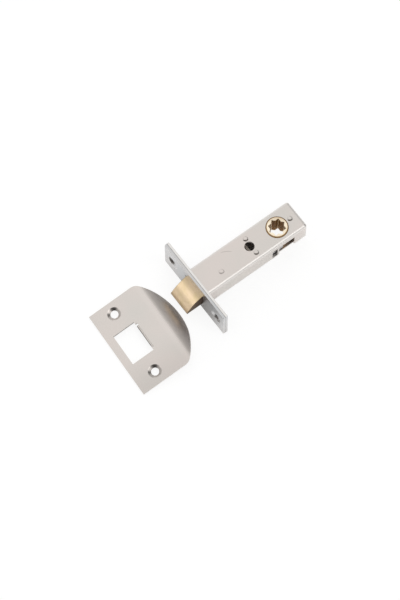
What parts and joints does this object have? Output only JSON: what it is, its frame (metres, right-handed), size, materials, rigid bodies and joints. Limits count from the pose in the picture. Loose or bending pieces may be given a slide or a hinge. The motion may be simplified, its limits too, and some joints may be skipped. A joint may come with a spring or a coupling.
{
  "type": "tubular door latch",
  "caption": "Tubular door latch: folded case with a two-layer forend, sprung bevelled brass bolt, retractor and star-holed spindle hub, with its lipped strike plate.",
  "frame": {"origin": "centre of the faceplate's outer face, on the axis of the bolt", "axes": "+X the way the bolt is thrown, +Y along the forend, +Z along the spindle axis, towards the side that the bevel faces"},
  "size_m": [0.1343, 0.0607, 0.025],
  "materials": {
    "satin_nickel": "satin nickel plate on steel",
    "zinc_steel": "zinc plate on steel",
    "spring_steel": "drawn spring wire",
    "brass": "satin brass"
  },
  "bodies": {
    "case": {"faceplate": "satin_nickel", "forend": "satin_nickel", "case_channel": "satin_nickel", "case_cover": "satin_nickel", "spring_abutment": "zinc_steel", "bolt_spring": "spring_steel", "return_spring": "spring_steel", "strike_plate": "satin_nickel"},
    "hub": {"hub": "brass"},
    "retractor": {"retractor": "zinc_steel"},
    "bolt": {"latch_bolt": "brass", "bolt_shank": "zinc_steel", "shank_pin": "zinc_steel", "shank_clip": "spring_steel"}
  },
  "joints": [
    {"name": "hub_turn", "type": "hinge", "parent": "case", "child": "hub", "pos_m": [-0.06, 0, 0], "axis": [0, 0, 1], "range_deg": [0, 76]},
    {"name": "retractor_slide", "type": "slide", "parent": "case", "child": "retractor", "axis": [1, 0, 0], "range_m": [-0.01046, 0], "stiffness_N_per_m": 900, "springref_m": 0.012, "deforming": ["return_spring"]},
    {"name": "bolt_slide", "type": "slide", "parent": "case", "child": "bolt", "axis": [1, 0, 0], "range_m": [-0.0105, 0], "stiffness_N_per_m": 350, "springref_m": 0.015, "deforming": ["bolt_spring"]}
  ],
  "couplings": [
    {"joint": "hub_turn", "follows": "retractor_slide", "rad_per_m": -126.69},
    {"joint": "bolt_slide", "follows": "retractor_slide", "ratio": 1}
  ]
}
